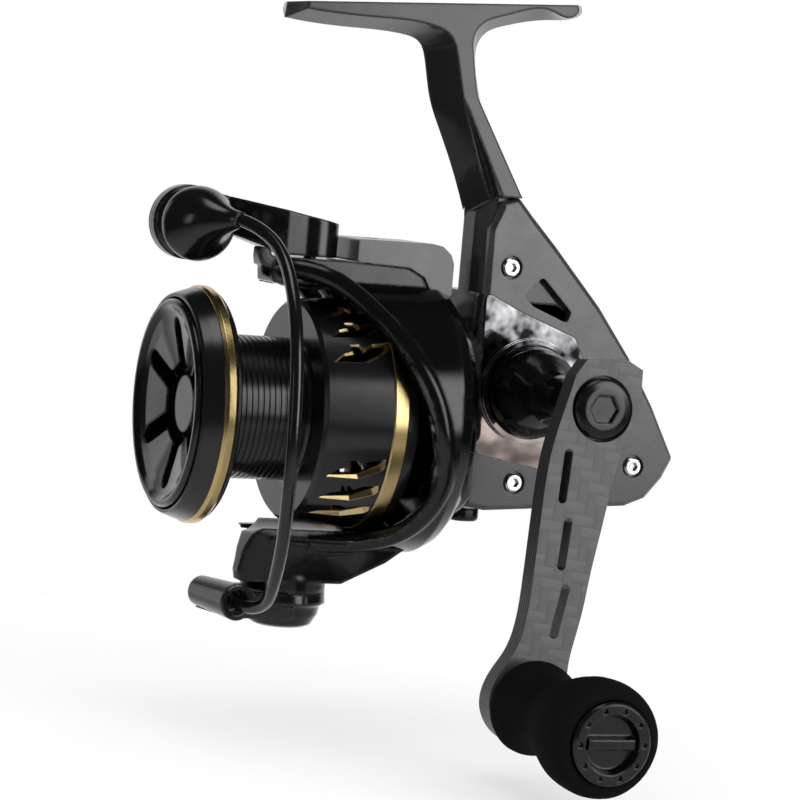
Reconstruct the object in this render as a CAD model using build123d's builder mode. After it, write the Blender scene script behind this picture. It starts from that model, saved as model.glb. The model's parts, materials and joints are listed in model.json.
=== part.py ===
from build123d import *
from math import atan2, cos, degrees, hypot, pi, radians, sin, tan
import os

# Spinning reel.  Millimetres.  +Z up towards the rod, -Y forward, +X handle side.
# The origin is the centre of the foot's seat face.  Working coordinates (x, y, z)
# are measured from the shaft datum: the shaft axis at the spool's gold lip ring.
SEAT_Y = 45.0  # seat centre behind the shaft datum
SEAT_Z = 80.9  # seat centre above the shaft axis
SEAT_TILT = 4.9  # seat pitch about X, rear end higher
FOOT_HALF = 7.0  # half width of the foot and stem

CRANK_Y = 66.5  # crank axis behind the datum
CRANK_Z = 6.9  # crank axis above the shaft axis
KNOB_Y = 54.0  # knob axis at rest
KNOB_Z = -48.1
ARM_LEAN = 5.7  # the handle arm leans outward, degrees
KNOB_OUT = 5.5  # how far that lean carries the knob outward
PIVOT_Y = 22.5  # bail pivot axis, parallel to Z
ROLLER_Y = -1.0  # line roller axis, parallel to X
ROLLER_Z = 34.6
LEVER_Y = 57.6  # anti-reverse lever pivot, parallel to Z

GEAR_TEETH = 45  # drive gear
PINION_TEETH = 9
MESH_REACH = 13.0  # crank axis to the middle of the tooth face, along Y
PINION_PITCH_R = MESH_REACH * PINION_TEETH / GEAR_TEETH
OSC_DRIVE_TEETH = 12
OSC_TEETH = 20
OSC_MODULE = 0.8
OSC_Y = 78.2  # oscillating gear axis
OSC_Z = 1.7

SHAFT_R = 1.5  # main shaft
PLATE_X = 8.7  # joint face of frame and side plate
PLATE_OUT = 10.9  # outer face of the side plate
OFF_X = -10.5  # outer face of the far wall

os.makedirs("parts", exist_ok=True)


def at(x, y, z):
    """Row-frame position of a point given from the shaft datum."""
    return (x, y - SEAT_Y, z - SEAT_Z)


def side(x):
    """Plane facing +X; its sketch axes are (y, z)."""
    return Plane(origin=at(x, 0, 0), x_dir=(0, 1, 0), z_dir=(1, 0, 0))


def front(y, x=0, z=0):
    """Plane facing forward; its sketch axes are (x, z)."""
    return Plane(origin=at(x, y, z), x_dir=(1, 0, 0), z_dir=(0, -1, 0))


def above(z, y=0):
    """Plane facing up; its sketch axes are (x, y)."""
    return Plane(origin=at(0, y, z), x_dir=(1, 0, 0), z_dir=(0, 0, 1))


SHAFT = Axis(at(0, 0, 0), (0, 1, 0))
CRANK = Axis(at(0, CRANK_Y, CRANK_Z), (1, 0, 0))
CRANK_PLANE = front(CRANK_Y, 0, CRANK_Z)
KNOB = Axis(at(0, KNOB_Y, KNOB_Z), (1, 0, 0))
KNOB_PLANE = front(KNOB_Y, KNOB_OUT, KNOB_Z)
PIVOT = Axis(at(0, PIVOT_Y, 0), (0, 0, 1))
PIVOT_PLANE = front(PIVOT_Y)
ROLLER = Axis(at(0, ROLLER_Y, ROLLER_Z), (1, 0, 0))
ROLLER_PLANE = front(ROLLER_Y, 0, ROLLER_Z)
OSC = Axis(at(0, OSC_Y, OSC_Z), (1, 0, 0))
OSC_PLANE = front(OSC_Y, 0, OSC_Z)


def turn(plane, axis, points, mode=Mode.ADD):
    """Revolve a closed profile (distance along the axis, radius) about the axis."""
    with BuildSketch(plane) as profile:
        with BuildLine():
            Polyline(*points, close=True)
        make_face()
    revolve(profile.sketch, axis=axis, mode=mode)


def plate(plane, points, depth, mode=Mode.ADD, radius=0.0):
    """Extrude a closed outline, its corners rounded by radius."""
    with BuildSketch(plane) as profile:
        with BuildLine():
            Polyline(*points, close=True)
        make_face()
        if radius:
            fillet(profile.vertices(), radius)
    extrude(profile.sketch, amount=depth, mode=mode)


def block(x0, x1, y0, y1, z0, z1, mode=Mode.ADD):
    """Box between two corners."""
    plate(side(x0), [(y0, z0), (y1, z0), (y1, z1), (y0, z1)], x1 - x0, mode)


def rod(plane, centre, radius, depth, mode=Mode.ADD):
    """Round bar or hole from a plane."""
    with BuildSketch(plane) as profile:
        with Locations(centre):
            Circle(radius)
    extrude(profile.sketch, amount=depth, mode=mode)


def ring(start, end, inner, outer):
    """Closed ring profile."""
    return [(start, inner), (end, inner), (end, outer), (start, outer)]


def bearing(start, end, inner, outer):
    """Ball bearing section with sunk shields on both faces."""
    step = (outer - inner) * 0.25
    sink = 0.25
    return [
        (start, inner), (end, inner), (end, inner + step), (end - sink, inner + step),
        (end - sink, outer - step), (end, outer - step), (end, outer), (start, outer),
        (start, outer - step), (start + sink, outer - step),
        (start + sink, inner + step), (start, inner + step),
    ]


def seat_z(y):
    """Height of the seat face at y."""
    return SEAT_Z + (y - SEAT_Y) * tan(radians(SEAT_TILT))


# ---------------------------------------------------------------- body frame
PLATE_SCREWS = [(60.6, 30.9), (65.1, -11.3), (90.9, -7.0)]
HOUSING = [
    (54.4, -16.3), (60.0, -17.2), (90.3, -15.2), (94.8, -13.4), (98.3, -9.2),
    (100.4, -5.0), (94.7, 5.4), (88.8, 14.6), (81.3, 24.2), (70.6, 35.6),
    (65.0, 41.2), (61.8, 44.6), (57.0, 44.6), (54.4, 41.0),
]
STEM_KEEL_REAR = [
    (69.1, 80.1), (59.0, 77.9), (55.2, 76.0), (53.8, 73.4), (53.8, 70.0), (55.5, 63.0),
    (58.4, 55.4), (62.3, 48.8), (66.0, 44.1),
]
STEM_SIDE_REAR = [
    (66.0, 81.5), (56.5, 79.7), (51.8, 77.7), (50.2, 75.4), (50.3, 71.6), (52.2, 62.8),
    (54.6, 57.2), (58.0, 50.6), (61.5, 45.6),
]
STEM_KEEL_FRONT = [
    (55.0, 37.9), (53.3, 42.8), (50.6, 49.6), (47.4, 56.4), (44.8, 62.2), (43.0, 69.8),
    (41.6, 73.0), (37.4, 74.4), (27.0, 74.6), (16.5, 74.9),
]
STEM_SIDE_FRONT = [
    (58.0, 36.0), (56.4, 43.7), (53.7, 49.3), (50.9, 56.9), (49.0, 62.6), (47.1, 70.3),
    (45.2, 74.6), (40.6, 76.4), (30.0, 76.7), (18.5, 76.8),
]


def stem_outline(plane, front_y, rear_y, tip_drop, rear_points, front_points):
    """Side view of foot and stem: seat line, rear curve, root, front curve."""
    seat_front = (front_y, seat_z(front_y))
    seat_rear = (rear_y, seat_z(rear_y))
    tip = (front_y - 0.3, seat_z(front_y) - tip_drop)
    with BuildSketch(plane) as outline:
        with BuildLine():
            Line(seat_front, seat_rear)
            Spline(seat_rear, (rear_y + 0.2, seat_z(rear_y) - 1.5),
                   (rear_y - 1.6, seat_z(rear_y) - 2.7), *rear_points)
            Line(rear_points[-1], front_points[0])
            Spline(*front_points, tip)
            Line(tip, seat_front)
        make_face()
    return outline.sketch.face()


with BuildPart() as body_frame:
    plate(side(OFF_X), HOUSING, PLATE_X - OFF_X, radius=1.2)
    keel = stem_outline(side(0), 13.6, 75.6, 3.0, STEM_KEEL_REAR, STEM_KEEL_FRONT)
    for half in (FOOT_HALF, -FOOT_HALF):
        edge = stem_outline(side(half), 15.6, 71.6, 1.4, STEM_SIDE_REAR, STEM_SIDE_FRONT)
        loft([keel, edge], ruled=True)
    # Shoulder that widens the stem to the side plate's outer face.
    with BuildSketch(above(63.0)) as shoulder_top:
        with BuildLine():
            Polyline((3, 50.0), (7.0, 49.0), (7.0, 52.2), (3, 52.2), close=True)
        make_face()
    with BuildSketch(above(44.5)) as shoulder_root:
        with BuildLine():
            Polyline((3, 57.0), (PLATE_OUT, 57.4), (PLATE_OUT, 61.6), (3, 61.6), close=True)
        make_face()
    loft([shoulder_root.sketch.face(), shoulder_top.sketch.face()], ruled=True)
    # The upper body narrows: its front corners and the far top corner are cut back.
    plate(above(25.5), [(PLATE_X + 0.1, 53.9), (PLATE_X + 0.1, 57.4), (4.6, 53.9)], 19.1,
          Mode.SUBTRACT)
    plate(above(25.5), [(0.5, 53.9), (OFF_X - 0.1, 53.9), (OFF_X - 0.1, 60.5)], 19.2,
          Mode.SUBTRACT)
    plate(front(90.0), [(OFF_X - 0.1, 26.0), (OFF_X - 0.1, 48.0), (-5.5, 48.0)], 40.0,
          Mode.SUBTRACT)
    # Round front flange and the collar that carries the clutch.
    turn(side(0), SHAFT, [(43.5, 0), (54.8, 0), (54.8, 19.5), (49.4, 19.5),
                          (48.8, 18.9), (48.8, 13.0), (43.5, 13.0)])
    for hand in (1, -1):
        plate(above(-22.0), [(hand * 13.2, 55.0), (hand * 17.9, 52.0), (hand * 20.0, 51.6),
                             (hand * 20.0, 55.0)], 44.0, Mode.SUBTRACT)
    # Gearbox cavity: the front pocket, then the main pocket open to the side plate.
    plate(side(-7.2), [(50.4, -13), (54.8, -13), (54.8, 18.2), (54.0, 17.2), (50.4, 12)],
          14.4, Mode.SUBTRACT)
    plate(side(-8.0), [(54.6, -13), (90.0, -12), (94.5, -7.5), (95.2, -4.5), (90.5, 4),
                       (84.5, 13), (77, 21), (72, 24), (62, 24), (57.5, 21.5),
                       (54.6, 18)], PLATE_X + 8.0, Mode.SUBTRACT)
    block(-8.2, 1.9, 57.0, 59.5, -9.4, 5.0)
    block(1.8, 4.0, 57.0, 59.5, -2.8, 5.0)
    turn(side(0), SHAFT, ring(57, 59.6, 0, 3.65), Mode.SUBTRACT)
    turn(side(0), SHAFT, [(43.4, 0), (50.5, 0), (50.5, 6.55), (47.7, 6.55),
                          (47.7, 11.05), (43.4, 11.05)], Mode.SUBTRACT)
    # Far-side boss and its bearing bore.
    turn(CRANK_PLANE, CRANK, ring(OFF_X - 0.8, -7.9, 0, 8.0))
    turn(CRANK_PLANE, CRANK, ring(OFF_X - 0.9, -7.8, 0, 5.05), Mode.SUBTRACT)
    # Bosses for the side plate screws.
    for centre in PLATE_SCREWS:
        rod(side(-8.5), centre, 2.2, PLATE_X + 8.5)
        rod(side(-4.0), centre, 1.05, PLATE_X + 4.0, Mode.SUBTRACT)
    # Guide rod sockets, shaft relief and the anti-reverse lever slot.
    rod(front(59.6), (0, -7.5), 1.02, 1.6, Mode.SUBTRACT)
    rod(front(89.6), (0, -7.5), 1.02, 2.0, Mode.SUBTRACT)
    rod(side(-9.6), (OSC_Y, OSC_Z), 1.22, 2.0, Mode.SUBTRACT)
    rod(above(-18.5), (0, LEVER_Y), 1.36, 6.0, Mode.SUBTRACT)
body_frame.part.label = "body_frame"
export_step(body_frame.part, "parts/body_frame.step")

# ------------------------------------------------------- side plate and trim
PLATE = [
    (55.0, -16.2), (60.0, -17.0), (90.0, -15.0), (94.4, -13.2), (97.8, -9.1),
    (99.8, -5.0), (94.2, 5.2), (88.3, 14.3), (80.8, 23.8), (70.2, 35.1),
    (64.6, 40.7), (61.0, 44.6), (57.8, 43.4), (55.6, 38.0), (55.7, 26.0), (55.0, 20.0),
]
TRIM = [
    (55.6, 25.9), (63.1, 22.5), (75.5, 18.0), (77.9, 13.5), (79.0, 4.0), (76.5, -4.0),
    (71.5, -8.6), (55.9, -5.7),
]
TRIM_SEAT = 10.3  # floor of the trim recess
TRIM_HOLE = 9.3

with BuildPart() as side_plate:
    plate(side(PLATE_X), PLATE, PLATE_OUT - PLATE_X, radius=1.0)
    chamfer(side_plate.faces().sort_by(Axis.X)[-1].edges(), 0.8)
    plate(side(TRIM_SEAT), TRIM, 1.0, Mode.SUBTRACT, radius=1.0)
    turn(CRANK_PLANE, CRANK, ring(PLATE_X - 0.1, 11.0, 0, 5.55), Mode.SUBTRACT)
    plate(side(PLATE_X - 0.1), [(67.5, 29.6), (63.9, 25.4), (66.0, 23.6), (73.6, 20.7),
                                (74.3, 23.0)], 3.0, Mode.SUBTRACT, radius=0.8)
    for centre in PLATE_SCREWS:
        rod(side(9.9), centre, 2.3, 1.1, Mode.SUBTRACT)
        rod(side(PLATE_X - 0.1), centre, 1.25, 2.0, Mode.SUBTRACT)
side_plate.part.label = "side_plate"
export_step(side_plate.part, "parts/side_plate.step")

with BuildPart() as trim_plate:
    with BuildSketch(side(TRIM_SEAT)) as trim_outline:
        with BuildLine():
            Polyline(*TRIM, close=True)
        make_face()
        fillet(trim_outline.vertices(), 1.0)
        offset(amount=-0.06)
    extrude(trim_outline.sketch, amount=0.95)
    turn(CRANK_PLANE, CRANK, ring(TRIM_SEAT, 12.4, TRIM_HOLE - 0.5, 10.4))
    turn(CRANK_PLANE, CRANK, ring(TRIM_SEAT - 0.1, 12.5, 0, TRIM_HOLE), Mode.SUBTRACT)
trim_plate.part.label = "trim_plate"
export_step(trim_plate.part, "parts/trim_plate.step")

with BuildPart() as side_plate_screws:
    for centre in PLATE_SCREWS:
        rod(side(-3.0), centre, 1.0, 12.95)
        rod(side(9.95), centre, 1.85, 1.25)
        with BuildSketch(side(11.3)) as drive:
            with Locations(centre):
                RegularPolygon(0.95, 6)
        extrude(drive.sketch, amount=-0.9, mode=Mode.SUBTRACT)
    heads = side_plate_screws.faces().sort_by(Axis.X)[-3:]
    chamfer([e for h in heads for e in h.outer_wire().edges()], 0.3)
side_plate_screws.part.label = "side_plate_screws"
export_step(side_plate_screws.part, "parts/side_plate_screws.step")

with BuildPart() as far_cap:
    turn(CRANK_PLANE, CRANK, [(-10.3, 0), (-10.3, 4.9), (-11.4, 4.9), (-11.4, 6.6),
                              (-12.6, 6.6), (-13.2, 6.0), (-13.2, 0)])
    block(-13.3, -12.4, CRANK_Y - 4.5, CRANK_Y + 4.5, CRANK_Z - 0.6, CRANK_Z + 0.6,
          Mode.SUBTRACT)
far_cap.part.label = "far_cap"
export_step(far_cap.part, "parts/far_cap.step")

# ----------------------------------------------------------- fixed internals
TUBE_R = 3.4  # drive gear shaft
with BuildPart() as crank_bearings:
    turn(CRANK_PLANE, CRANK, bearing(-10.2, -8.0, TUBE_R + 0.04, 5.0))
    turn(CRANK_PLANE, CRANK, bearing(8.75, 10.85, TUBE_R + 0.04, 5.5))
crank_bearings.part.label = "crank_bearings"
export_step(crank_bearings.part, "parts/crank_bearings.step")

with BuildPart() as pinion_bearing:
    turn(side(0), SHAFT, bearing(47.8, 50.2, 3.04, 6.5))
pinion_bearing.part.label = "pinion_bearing"
export_step(pinion_bearing.part, "parts/pinion_bearing.step")

with BuildPart() as pinion_bushing:
    turn(side(0), SHAFT, ring(57.05, 59.45, 2.04, 3.6))
pinion_bushing.part.label = "pinion_bushing"
export_step(pinion_bushing.part, "parts/pinion_bushing.step")

with BuildPart() as clutch_housing:
    turn(side(0), SHAFT, ring(43.9, 47.6, 7.2, 11.0))
clutch_housing.part.label = "clutch_housing"
export_step(clutch_housing.part, "parts/clutch_housing.step")

with BuildPart() as clutch_rollers:
    with BuildSketch(front(47.3)) as rollers:
        with PolarLocations(6.1, 6):
            Circle(1.0)
    extrude(rollers.sketch, amount=3.1)
clutch_rollers.part.label = "clutch_rollers"
export_step(clutch_rollers.part, "parts/clutch_rollers.step")

with BuildPart() as guide_rod:
    rod(front(89.4), (0, -7.5), 1.0, 30.9)
guide_rod.part.label = "guide_rod"
export_step(guide_rod.part, "parts/guide_rod.step")

with BuildPart() as osc_axle:
    turn(OSC_PLANE, OSC, ring(-9.5, -5.1, 0, 1.2))
osc_axle.part.label = "osc_axle"
export_step(osc_axle.part, "parts/osc_axle.step")

# ------------------------------------------------------------ reverse lever
with BuildPart() as reverse_lever:
    rod(above(-18.0), (0, LEVER_Y), 1.3, 6.6)
    block(-2.4, 2.4, LEVER_Y - 0.9, LEVER_Y + 0.9, -12.8, -11.4)
    with BuildSketch(above(-20.2)) as tab:
        with Locations((0, LEVER_Y + 1.2)):
            RectangleRounded(8.6, 6.2, 2.6)
    extrude(tab.sketch, amount=2.6)
    fillet(reverse_lever.edges().group_by(Axis.Z)[0], 0.8)
reverse_lever.part.label = "reverse_lever"
export_step(reverse_lever.part, "parts/reverse_lever.step")

# -------------------------------------------------------------- gear train
def gear_outline(teeth, root_r, tip_r, root_w, tip_w, phase=0.0):
    """Closed outline of a spur gear with straight-sided teeth."""
    points = []
    for k in range(teeth):
        a = radians(phase + 360.0 * k / teeth)
        for r, w in ((root_r, -root_w / 2), (tip_r, -tip_w / 2),
                     (tip_r, tip_w / 2), (root_r, root_w / 2)):
            points.append((r * cos(a) - w * sin(a), r * sin(a) + w * cos(a)))
    return points


# The drive gear is an offset face gear: its tooth spaces are tangent to a circle
# of the crank offset, so that the space in mesh lies along the pinion axis.
FACE_TIP_X = PINION_PITCH_R - 0.45
FACE_ROOT_X = PINION_PITCH_R + 0.65
RIM_INNER = hypot(MESH_REACH - 1.0, CRANK_Z)
RIM_OUTER = hypot(MESH_REACH + 1.0, CRANK_Z)

with BuildPart() as drive_gear:
    turn(CRANK_PLANE, CRANK, ring(-9.9, 11.0, 2.55, TUBE_R))
    turn(CRANK_PLANE, CRANK, ring(4.8, 6.3, TUBE_R - 0.1, RIM_OUTER))
    turn(CRANK_PLANE, CRANK, ring(FACE_TIP_X, 4.9, RIM_INNER, RIM_OUTER))
    for k in range(GEAR_TEETH):
        a = 2 * pi * k / GEAR_TEETH
        dy = -(MESH_REACH + 2.0) * cos(a) + CRANK_Z * sin(a)
        dz = -(MESH_REACH + 2.0) * sin(a) - CRANK_Z * cos(a)
        with BuildSketch(Plane(origin=at(0, CRANK_Y + dy, CRANK_Z + dz),
                               x_dir=(1, 0, 0), z_dir=(0, cos(a), sin(a)))) as space:
            with BuildLine():
                Polyline((FACE_TIP_X - 0.1, -0.75), (FACE_ROOT_X, -0.42),
                         (FACE_ROOT_X, 0.42), (FACE_TIP_X - 0.1, 0.75), close=True)
            make_face()
        extrude(space.sketch, amount=4.2, mode=Mode.SUBTRACT)
    with BuildSketch(side(4.0)) as windows:
        with Locations((CRANK_Y, CRANK_Z)):
            with PolarLocations(8.2, 6):
                Circle(2.1)
    extrude(windows.sketch, amount=3.0, mode=Mode.SUBTRACT)
drive_gear.part.label = "drive_gear"
export_step(drive_gear.part, "parts/drive_gear.step")

with BuildPart() as pinion_gear:
    turn(side(0), SHAFT, [(26.0, SHAFT_R + 0.05), (26.0, 2.6), (26.3, 2.8), (31.0, 2.8),
                          (31.0, 3.0), (51.2, 3.0), (51.2, 2.0), (59.6, 2.0),
                          (59.6, SHAFT_R + 0.05)])
    plate(front(55.4), gear_outline(PINION_TEETH, 2.05, PINION_PITCH_R + 0.5, 1.0, 0.4),
          4.2)
    rod(front(60.0), (0, 0), SHAFT_R + 0.05, 10.0, Mode.SUBTRACT)
pinion_gear.part.label = "pinion_gear"
export_step(pinion_gear.part, "parts/pinion_gear.step")

# Oscillation drive: a small spur gear on the crank turns the oscillating gear.
OSC_LINE = degrees(atan2(OSC_Z - CRANK_Z, OSC_Y - CRANK_Y))
OSC_DRIVE_PITCH = OSC_MODULE * OSC_DRIVE_TEETH / 2
OSC_PITCH = OSC_MODULE * OSC_TEETH / 2
with BuildPart() as osc_drive_gear:
    teeth = gear_outline(OSC_DRIVE_TEETH, OSC_DRIVE_PITCH - 0.8, OSC_DRIVE_PITCH + 0.6,
                         1.45, 0.55, OSC_LINE)
    plate(side(-7.7), [(CRANK_Y + y, CRANK_Z + z) for y, z in teeth], 2.0)
    turn(CRANK_PLANE, CRANK, ring(-7.8, -5.6, 0, TUBE_R + 0.02), Mode.SUBTRACT)
osc_drive_gear.part.label = "osc_drive_gear"
export_step(osc_drive_gear.part, "parts/osc_drive_gear.step")

with BuildPart() as osc_gear:
    teeth = gear_outline(OSC_TEETH, OSC_PITCH - 0.8, OSC_PITCH + 0.6, 1.45, 0.55,
                         OSC_LINE + 180 + 180 / OSC_TEETH)
    plate(side(-7.7), [(OSC_Y + y, OSC_Z + z) for y, z in teeth], 2.0)
    rod(side(-5.8), (OSC_Y, OSC_Z - 6.0), 1.2, 2.3)
    turn(OSC_PLANE, OSC, ring(-7.8, -5.0, 0, 1.25), Mode.SUBTRACT)
osc_gear.part.label = "osc_gear"
export_step(osc_gear.part, "parts/osc_gear.step")

# ------------------------------------------------------ crank, arm and knob
with BuildPart() as handle_shank:
    turn(CRANK_PLANE, CRANK, [(-9.8, 0), (-9.8, 2.2), (-9.5, 2.5), (36.0, 2.5), (36.0, 0)])
handle_shank.part.label = "handle_shank"
export_step(handle_shank.part, "parts/handle_shank.step")

with BuildPart() as dust_bell:
    turn(CRANK_PLANE, CRANK, [
        (11.5, 8.3), (11.5, 8.9), (12.0, 9.05), (13.5, 9.0), (15.5, 8.7), (18.0, 7.9),
        (20.5, 6.7), (23.0, 5.4), (26.0, 4.6), (30.0, 4.3), (34.0, 4.4), (36.5, 5.2),
        (38.0, 6.4), (38.9, 6.6), (38.9, 2.54), (21.0, 2.54), (19.0, 5.8), (15.5, 7.7)])
dust_bell.part.label = "dust_bell"
export_step(dust_bell.part, "parts/dust_bell.step")

# Outline on the leaning plate, measured from the crank axis.
ARM_T = 4.6
ARM_X = 44.2 - ARM_T  # inner face at the crank axis
ARM_PLANE = Plane(origin=at(ARM_X, CRANK_Y, CRANK_Z), x_dir=(0, 1, 0),
                  z_dir=(cos(radians(ARM_LEAN)), 0, sin(radians(ARM_LEAN))))
ARM_TOP = [(-5.7, 5.7), (-3.5, 8.7), (4.5, 9.1), (8.1, 7.2), (8.0, 4.3)]
ARM_REAR = [(8.0, 4.3), (7.6, -0.4), (5.1, -6.7), (3.4, -11.8), (1.9, -18.3),
            (0.4, -25.2), (-1.0, -31.6), (-2.1, -37.6), (-3.3, -42.5), (-4.6, -48.0),
            (-4.3, -53.7)]
ARM_END = (-11.5, -63.1)
ARM_FRONT = [(-20.3, -56.4), (-19.8, -52.5), (-18.2, -49.5), (-15.8, -46.1),
             (-13.9, -41.1), (-12.9, -34.7), (-12.1, -26.3), (-11.4, -18.8),
             (-10.3, -10.1), (-8.7, -3.7), (-6.8, 2.1), (-5.7, 5.7)]
ARM_SLOTS = [((-6.5, -9.0), (-7.4, -17.5)), ((-6.0, -21.8), (-7.0, -29.9)),
             ((-5.9, -34.2), (-7.9, -42.6))]
with BuildPart() as handle_arm:
    with BuildSketch(ARM_PLANE) as arm_outline:
        with BuildLine():
            Polyline(*ARM_TOP)
            Spline(*ARM_REAR)
            ThreePointArc(ARM_REAR[-1], ARM_END, ARM_FRONT[0])
            Spline(*ARM_FRONT)
        make_face()
    extrude(arm_outline.sketch, amount=ARM_T)
    with BuildSketch(ARM_PLANE.offset(-0.5)) as arm_slots:
        for top, low in ARM_SLOTS:
            with Locations(((top[0] + low[0]) / 2, (top[1] + low[1]) / 2)):
                lean = degrees(atan2(top[1] - low[1], top[0] - low[0]))
                SlotCenterToCenter(hypot(top[0] - low[0], top[1] - low[1]), 1.7,
                                   rotation=lean)
    extrude(arm_slots.sketch, amount=ARM_T + 1.0, mode=Mode.SUBTRACT)
    turn(CRANK_PLANE, CRANK, ring(38.0, 46.0, 0, 2.6), Mode.SUBTRACT)
    turn(CRANK_PLANE, CRANK, ring(42.2, 46.0, 0, 6.2), Mode.SUBTRACT)
    turn(KNOB_PLANE, KNOB, ring(38.0, 46.0, 0, 1.55), Mode.SUBTRACT)
handle_arm.part.label = "handle_arm"
export_step(handle_arm.part, "parts/handle_arm.step")

with BuildPart() as hub_bolt:
    turn(CRANK_PLANE, CRANK, [(36.1, 0), (36.1, 2.5), (42.25, 2.5), (42.25, 4.4),
                              (43.3, 4.4), (43.6, 4.1), (43.6, 0)])
    with BuildSketch(side(43.7)) as drive:
        with Locations((CRANK_Y, CRANK_Z)):
            RegularPolygon(1.9, 6)
    extrude(drive.sketch, amount=-1.1, mode=Mode.SUBTRACT)
hub_bolt.part.label = "hub_bolt"
export_step(hub_bolt.part, "parts/hub_bolt.step")

with BuildPart() as hub_cap:
    turn(CRANK_PLANE, CRANK, [(42.3, 4.6), (42.3, 5.7), (44.6, 5.7), (45.0, 5.3), (45.3, 4.0),
                              (45.3, 0), (43.7, 0), (43.7, 4.6)])
    with BuildSketch(side(45.5)) as cap_drive:
        with Locations((CRANK_Y, CRANK_Z)):
            RegularPolygon(2.9, 6)
    extrude(cap_drive.sketch, amount=-0.9, mode=Mode.SUBTRACT)
hub_cap.part.label = "hub_cap"
export_step(hub_cap.part, "parts/hub_cap.step")

with BuildPart() as knob_spindle:
    turn(KNOB_PLANE, KNOB, [(38.4, 0), (38.4, 3.2), (39.2, 3.2), (39.2, 1.5), (44.5, 1.5),
                            (44.5, 2.6), (45.9, 2.6), (45.9, 1.5), (74.0, 1.5), (74.0, 2.5),
                            (75.0, 2.5), (75.2, 2.2), (75.2, 0)])
knob_spindle.part.label = "knob_spindle"
export_step(knob_spindle.part, "parts/knob_spindle.step")

with BuildPart() as knob_bearings:
    turn(KNOB_PLANE, KNOB, bearing(46.2, 48.4, 1.54, 3.0))
    turn(KNOB_PLANE, KNOB, bearing(71.5, 73.7, 1.54, 3.0))
knob_bearings.part.label = "knob_bearings"
export_step(knob_bearings.part, "parts/knob_bearings.step")

with BuildPart() as knob_core:
    turn(KNOB_PLANE, KNOB, [(44.9, 3.02), (44.9, 5.5), (45.2, 5.5), (45.2, 4.0), (75.4, 4.0),
                            (75.4, 3.02)])
knob_core.part.label = "knob_core"
export_step(knob_core.part, "parts/knob_core.step")

with BuildPart() as knob_grip:
    with BuildSketch(KNOB_PLANE) as grip_profile:
        with BuildLine():
            Polyline((79.0, 8.7), (79.0, 7.6), (75.5, 7.6), (75.5, 4.05), (45.3, 4.05),
                     (45.3, 7.7))
            Spline((45.3, 7.7), (46.6, 8.6), (50.0, 8.1), (55.0, 7.25), (60.0, 7.6),
                   (65.0, 8.9), (70.0, 10.2), (74.5, 10.6), (77.6, 10.0), (79.0, 8.7))
        make_face()
    revolve(grip_profile.sketch, axis=KNOB)
knob_grip.part.label = "knob_grip"
export_step(knob_grip.part, "parts/knob_grip.step")

with BuildPart() as knob_cap:
    turn(KNOB_PLANE, KNOB, [(75.6, 0), (75.6, 7.5), (79.5, 7.5), (79.9, 7.1), (79.9, 5.3),
                            (78.0, 4.7), (78.0, 0)])
    with BuildSketch(side(80.0 + KNOB_OUT)) as dimples:
        with Locations((KNOB_Y, KNOB_Z)):
            with PolarLocations(6.2, 10):
                Circle(0.45)
    extrude(dimples.sketch, amount=-0.7, mode=Mode.SUBTRACT)
    with BuildSketch(side(77.9 + KNOB_OUT)) as grip_bar:
        with Locations((KNOB_Y, KNOB_Z)):
            Rectangle(9.6, 2.4)
    extrude(grip_bar.sketch, amount=1.7, taper=12)
knob_cap.part.label = "knob_cap"
export_step(knob_cap.part, "parts/knob_cap.step")

# --------------------------------------------------------------------- rotor
ARM_HALF = 8.2  # half width of the rotor arms
GAP_Z = -35.0  # joint between the lower rotor arm and the bail holder
TOP_Z = 29.7  # top of the upper rotor arm's head
ARM_TOP_SIDE = [
    (12.4, 24.8), (11.8, 27.4), (9.9, 27.9), (9.2, 29.4), (9.3, 31.2), (11.2, 31.3),
    (11.9, TOP_Z), (28.0, TOP_Z), (40.0, 29.2), (43.1, 27.6), (45.0, 25.4),
    (47.6, 24.9), (46.8, 23.8), (41.0, 24.2), (16.0, 24.2),
]
ARM_LOW_SIDE = [
    (14.6, -22.4), (12.6, -23.6), (10.9, -26.6), (10.0, -30.8), (10.6, -32.8), (31.4, -32.8),
    (40.4, -28.4), (44.0, -25.8), (48.0, -24.9), (46.8, -23.8), (41.0, -22.4),
]
SIDE_CUT = [(-10, 24.1), (26.0, 24.0), (30.1, 21.7), (32.9, 15.6), (36.3, 9.8),
            (40.2, 1.5), (42.2, -5.6), (43.0, -12.6), (40.7, -18.3), (38.0, -21.9),
            (32.0, -23.8), (-10, -23.9)]
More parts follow.
